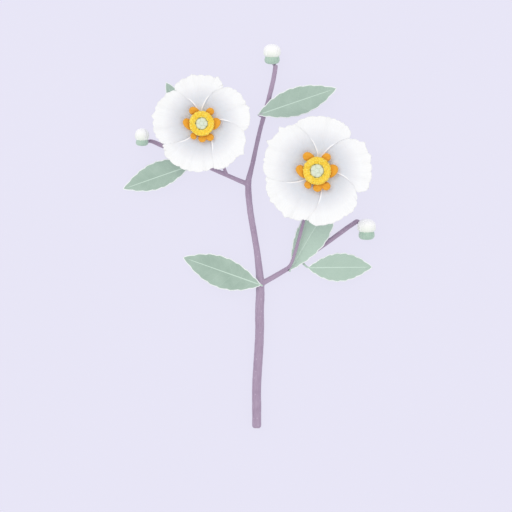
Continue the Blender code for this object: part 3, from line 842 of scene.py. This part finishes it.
ANTHER_REACH = 0.305            # shares of the flower's radius
ANTHER_HEAD = 0.083
ANTHERS = [                     # angle, how far the tail bends, and shares of reach and width
    (7, -36, 0.95, 1.22), (55, 17, 0.98, 0.96), (124, -24, 1.03, 1.0), (175, 36, 1.0, 1.0),
    (239, 8, 0.95, 0.92), (272, 22, 0.99, 1.0), (301, -17, 1.06, 0.95)]

anther_orange = pollen_gold("anther_orange", "#CB8214", "#E39B21", "#EEAB36", roughness=0.65)
for name, flower in FLOWERS.items():
    radius = flower["radius"]
    head, reach = ANTHER_HEAD * radius, ANTHER_REACH * radius
    tube, ring = STAMEN_TUBE * radius, STAMEN_RING * radius
    thick = 0.68 * head
    seat = bowl(ANTHER_REACH, radius) + 0.5 * layer_step(ANTHER_REACH) + 0.3 + thick
    for number, (angle, bend, longer, wider) in enumerate(ANTHERS, start=1):
        aim = radians(bend)
        start = Vector((reach * longer, 0.0))
        knee = Vector((ring + 0.5, (ring + 0.5) * sin(0.45 * aim)))
        tip = Vector(((ring + 0.1) * cos(aim), (ring + 0.1) * sin(aim)))
        bpy.ops.mesh.primitive_uv_sphere_add(segments=36, ring_count=26, radius=1.0,
                                             rotation=(0, pi / 2, 0))
        anther = bpy.context.active_object
        bpy.ops.object.transform_apply(location=False, rotation=True, scale=False)
        anther.name = anther.data.name = f"{name}_anther_{number}_pouch"
        for vert, value in pattern_of(anther):
            x, y, z = vert.co
            t = max(0.0, -x)
            spot = start * (1 - t)**2 + knee * 2 * t * (1 - t) + tip * t * t
            ahead = ((knee - start) * (1 - t) + (tip - knee) * t).normalized()
            spot -= ahead * max(0.0, x) * head
            waist = 1 - 0.3 * t**2
            spot += Vector((ahead.y, -ahead.x)) * y * head * waist * wider
            furrow = exp(-(y / 0.2)**2) * (1 - t)**2 * abs(z)
            grains = 0.05 * noise.noise(Vector((3 * x, 3 * y, 3 * z + number)))
            height = seat + 0.37 * (spot.length - reach)
            height += thick * waist * (z + grains - 0.14 * furrow * (1 if z > 0 else -1))
            # Painted shade and light: the orange is darker in the furrow and underneath, and
            # lighter on top.
            value.vector = (0.62 - 0.35 * furrow + 0.3 * z, 0.0, 0.0)
            vert.co = Vector((*spot, height)) * MM
        anther.data.shade_smooth()
        anther.data.materials.append(anther_orange)
        under = seat - 0.37 * (reach - ring)
        filament = stalk(f"{name}_filament_{number}", [
            (tube - 0.2, 0.0, under - 1.6, 0.5), (tube + 0.9, 0.0, under - 1.2, 0.42),
            (ring - 0.4, 0.0, under - 0.5, 0.42), (reach - 0.6 * head, 0.0, seat - 0.4, 0.5)],
            filament_gold)
        join(anther, filament)
        put(anther, flower["centre"], radians(angle))
        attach(anther, "root")
        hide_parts(f"{name}_anther_{number}")


# ---- Pistils ---------------------------------------------------------------------------------
# In the middle of each flower, a pale green ovary with five shallow furrows and fine down on it.
# Its five short styles are grown together and end in five small, moist stigma lobes.

OVARY_SHARE = 1.025             # the ovary's size as a share of the solid pistil's radius


def ovary_skin():
    """Ovary skin: pale green, matt and downy, with painted shade making it darker in the furrows.
    """
    skin = new_finish("ovary_skin", Roughness=0.65, Specular_IOR_Level=0.3, Sheen_Weight=0.3,
                      Sheen_Roughness=0.4)
    place, parts = coordinates(skin)
    down = add_node(skin, "TexNoise", {"Scale": 2200.0, "Detail": 3.0}, {"Vector": place})
    mixed = add_node(skin, "Mix", {0: 0.6}, {2: down, 3: parts["X"]})
    add_node(skin, "ValToRGB", {"stops": [
        (0.25, "#C3D0B6"), (0.5, "#D8E2CD"), (0.75, "#DFE8D5"), (1.0, "#E6ECDB")]},
        {"Fac": mixed}, feeds="Base Color")
    add_node(skin, "Bump", {"Strength": 0.4, "Distance": 0.1 * MM}, {"Height": down},
             feeds="Normal")
    return skin


ovary_finish = ovary_skin()
for name, flower in FLOWERS.items():
    size = OVARY_SHARE * PISTIL_SHARE * flower["radius"]

    def furrows(angle, r, z):
        depth = (1 - abs(cos(2.5 * angle))**0.5) * min(1.0, r / size * 1.6)
        return r * (1 - 0.07 * depth), z - 0.35 * depth * smooth_step((z - 8.0) / 2.0)

    ovary = turned(name + "_ovary", 80, [(share * size, z) for share, z in (
        (0.0, 5.0), (0.7, 5.0), (0.95, 6.2), (1.02, 8.4), (0.99, 9.6), (0.9, 10.4),
        (0.66, 10.85), (0.3, 10.95), (0.0, 10.95))], ovary_finish, furrows)

    def lobes(angle, r, z):
        lobe = 0.5 + 0.5 * cos(5 * angle + pi)
        return r * (0.62 + 0.38 * lobe), z + 0.25 * lobe * smooth_step((z - 11.2) / 0.6)

    stigma = turned(name + "_stigma", 60, [(share * size, z) for share, z in (
        (0.0, 10.6), (0.24, 10.6), (0.22, 11.1), (0.34, 11.4), (0.33, 11.7), (0.15, 11.65),
        (0.0, 11.45))], ovary_finish, lobes)
    # Painted shade: the ovary's colour is darker along its furrows. The stigma is its own paler
    # shade.
    for piece in (ovary, stigma):
        shade = 0.5 if piece is ovary else 0.72
        for vert, value in pattern_of(piece):
            angle = atan2(vert.co.y, vert.co.x)
            furrow = (1 - abs(cos(2.5 * angle)))**3 if piece is ovary else 0.0
            value.vector = (shade + 0.25 * (1 - 2 * furrow), 0.0, 0.0)
    pistil = join(ovary, stigma)
    pistil.name = name + "_ovary_and_stigma"
    put(pistil, flower["centre"])
    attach(pistil, "root")
    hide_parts(name + "_pistil")


# ---- Buds ------------------------------------------------------------------------------------
# Three closed buds. The white petals are furled round each other in a ball, each with its free
# edge over the next, and turn in to a point at the top. Five short, round-ended green sepals,
# grown together below, hold the ball as a cup does.

BUD_TILT = 8.0                  # degrees that a bud is raised from the paper
BUD_PETAL_THICKNESS = 0.25
BUD_PETAL_HALF_ANGLE = radians(62)
CUP_SHARE = 0.87                # the cup's radius as a share of the ball's
CUP_HEIGHTS = {"bud_top": 5.1, "bud_left": 4.0, "bud_right": 5.4}


def bud_petal_skin():
    """Furled petals: white and silky, going to a greenish cream down inside the cup."""
    skin = new_finish("bud_petal_silk", Roughness=0.6, Specular_IOR_Level=0.3, Sheen_Weight=0.6,
                      Sheen_Roughness=0.35)
    place, parts = coordinates(skin)
    white = add_node(skin, "ValToRGB", {"stops": [
        (0.3, "#EDF1E6"), (0.45, "#F6F7F0"), (0.6, "#FBFBF7"), (1.0, "#FCFCF9")]},
        {"Fac": parts["Y"]})
    vein = veins(skin, parts["X"], 1.0, 0.3, strength=0.14)
    veined = add_node(skin, "MixRGB", {"Color2": colour("#DDE2DC")}, {"Fac": vein, "Color1": white})
    # Painted highlight: each furled petal goes pure white along its free edge.
    lap_highlight = add_node(skin, "MapRange", {"From Min": 0.5, "From Max": 0.0}, {"Value": parts["Z"]})
    add_node(skin, "MixRGB", {"Color2": colour("#FFFFFF")}, {"Fac": lap_highlight, "Color1": veined},
             feeds="Base Color")
    silk = add_node(skin, "TexNoise", {"Scale": 700.0, "Detail": 3.0}, {"Vector": place})
    add_node(skin, "Bump", {"Strength": 0.15, "Distance": 0.12 * MM}, {"Height": silk},
             feeds="Normal")
    return skin


bud_finish = bud_petal_skin()
up = Vector((0.0, sin(radians(90 - BUD_TILT)), cos(radians(90 - BUD_TILT))))
for name, cup_height in CUP_HEIGHTS.items():
    cup_points = [v.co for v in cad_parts[name + "_calyx"].data.vertices]
    low = min(point.dot(up) for point in cup_points)
    base_points = [point for point in cup_points if point.dot(up) < low + 0.02 * MM]
    foot = sum(base_points, Vector()) / len(base_points)
    ball_points = [v.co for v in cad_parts[name + "_petals"].data.vertices]
    length = (max(point.dot(up) for point in ball_points) - low) / MM
    radius = (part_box(name + "_petals")[1].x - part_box(name + "_petals")[0].x) / 2 / MM
    cup_radius = CUP_SHARE * radius
    shoulder = cup_height + 0.42 * (length - cup_height)

    def ball(along):
        """The ball's radius and height from its foot in the cup, along 0, to its top, along 1."""
        z = 1.0 + (length - 1.0) * sin(0.5 * pi * along)
        inside = cup_radius * (0.4 + 0.44 * smooth_step(z / cup_height))
        bulge = smooth_step((z - cup_height + 0.5) / 2.2)
        r = inside + (radius - inside) * bulge**0.7
        if z > shoulder:
            r = radius * max(1 - ((z - shoulder) / (length - shoulder))**2.2, 0.0)**0.5
        return r, z

    shells = []
    for number in range(5):
        seam = radians(72 * number + 20)

        def shell(across, along):
            """A furled petal: one edge tucked under, the other free and slightly proud."""
            side = 2 * across - 1
            r, z = ball(along)
            angle = seam + side * BUD_PETAL_HALF_ANGLE + 0.9 * along**3
            lip = 0.07 * exp(-((1 - side) / 0.10)**2) * min(1.0, r / 2)
            r = max(r - 0.30 + 0.10 * side + lip, 0.02)
            z -= 0.12 * (1 - side) * along
            free = (1 - side) * BUD_PETAL_HALF_ANGLE * max(r, 0.3)
            return (r * cos(angle), r * sin(angle), z), (side * 5, along, free)

        piece = sheet(f"{name}_petal_{number + 1}", 40, 40, shell, bud_finish)
        apply_modifier(piece, "SOLIDIFY", thickness=BUD_PETAL_THICKNESS * MM, offset=0.0)
        shells.append(piece)
    steps = (0.02, 0.1, 0.18, 0.25, 0.32, 0.4, 0.5, 0.6, 0.7, 0.8, 0.88, 0.95)
    core = turned(name + "_core", 48, [(0.0, 1.0)] + [
        (max(ball(t)[0] - 0.6, 0.05), ball(t)[1] - 0.35 * t) for t in steps] + [
        (0.0, length - 0.5)], bud_finish)
    furled = join(core, *shells)
    furled.name = name + "_furled_petals"

    def cup_sepals(angle, r, z):
        """Five broad, rounded sepal ends, and a faint groove where two sepals meet."""
        lobe = abs(cos(2.5 * angle))
        rise = smooth_step(z / cup_height)
        return r - 0.2 * (1 - lobe)**4 * rise, z + (0.25 - 0.45 * (1 - lobe)**2) * rise**3

    # Up the outside, over the rim and down inside: shares of the radius and height, and an inset.
    profile = [(out * cup_radius - inset, rise * cup_height) for out, rise, inset in (
        (0.0, 0.0, 0.0), (0.42, 0.0, 0.0), (0.68, 0.05, 0.0), (0.86, 0.17, 0.0), (0.97, 0.34, 0.0),
        (1.0, 0.52, 0.0), (0.98, 0.7, 0.0), (0.91, 0.9, 0.0), (0.86, 1.0, 0.1), (0.9, 0.94, 0.45),
        (0.92, 0.6, 0.5), (0.55, 0.16, 0.0))]
    cup = turned(name + "_cup_sepals", 120, profile + [(0.0, 0.5)], sepal_finish, cup_sepals)
    stand = Matrix.Translation(foot) @ Matrix.Rotation(radians(-90 + BUD_TILT), 4, "X")
    for piece in (furled, cup):
        piece.data.transform(stand)
        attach(piece, "root")
    # A short neck widens from the nearest point of the twig up into the cup.
    seat = (foot + up * 0.4 * cup_height * MM) / MM
    twig_end = twig_surface.find_nearest((seat - Vector((0, 0, cup_radius))) * MM)[0] / MM
    neck = stalk(name + "_neck", [
        (*twig_end.lerp(seat, share), neck_radius) for share, neck_radius in (
            (-0.25, 0.75), (0.0, 0.95), (0.3, 1.25), (0.75, 1.7))], stalk_skin)
    join(cup, neck)
    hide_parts(name + "_petals")
    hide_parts(name + "_calyx")


# ---- Floor, light and camera -----------------------------------------------------------------
# A plain sheet of pale lavender paper under plain soft light from all round, and a camera that
# looks straight down on the sprig from far away.

FLOOR_SIZE = 60.0               # in metres, so that its edge is never seen
LIGHTS = {                      # place, size and power, in metres and watts
    "key": ((-1.6, 1.6, 2.6), 2.2, 17.0),
    "fill": ((1.9, -1.4, 2.4), 2.2, 8.5)}
LENS = 600.0
SENSOR = 36.0
VIEW_WIDTH = 332.8              # what the camera sees of the paper, and its middle
VIEW_CENTRE = (4.64, -12.68)

bpy.ops.mesh.primitive_plane_add(size=FLOOR_SIZE, location=(0, 0, 0))
floor = bpy.context.active_object
floor.name = "floor"
paper = new_finish("lavender_paper", Roughness=0.9, Specular_IOR_Level=0.1,
                   Emission_Color=colour("#E9E7F7"), Emission_Strength=0.91)
fibres = add_node(paper, "TexNoise", {"Scale": 6.0, "Detail": 2.0},
                  {"Vector": add_node(paper, "TexCoord").outputs["Object"]})
add_node(paper, "ValToRGB", {"stops": [(0.3, "#434249"), (0.7, "#45444B")]}, {"Fac": fibres},
         feeds="Base Color")
floor.data.materials.append(paper)

world = bpy.data.worlds.new("studio")
bpy.context.scene.world = world
world.use_nodes = True
background = world.node_tree.nodes["Background"]
background.inputs["Color"].default_value = colour("#FBFBFF")
background.inputs["Strength"].default_value = 0.97

for light_name, (place, size, power) in LIGHTS.items():
    bpy.ops.object.light_add(type="AREA", location=place)
    light = bpy.context.active_object
    light.name = light_name
    light.data.size = size
    light.data.energy = power
    light.rotation_euler = (-Vector(place)).to_track_quat("-Z", "Y").to_euler()
    light.visible_camera = False

view_x, view_y = VIEW_CENTRE
bpy.ops.object.camera_add(location=(view_x * MM, view_y * MM, VIEW_WIDTH * MM * LENS / SENSOR))
camera = bpy.context.active_object
camera.data.lens = LENS
camera.data.sensor_width = SENSOR
camera.data.clip_end = 100.0
bpy.context.scene.camera = camera
bpy.context.scene.view_settings.view_transform = "Standard"
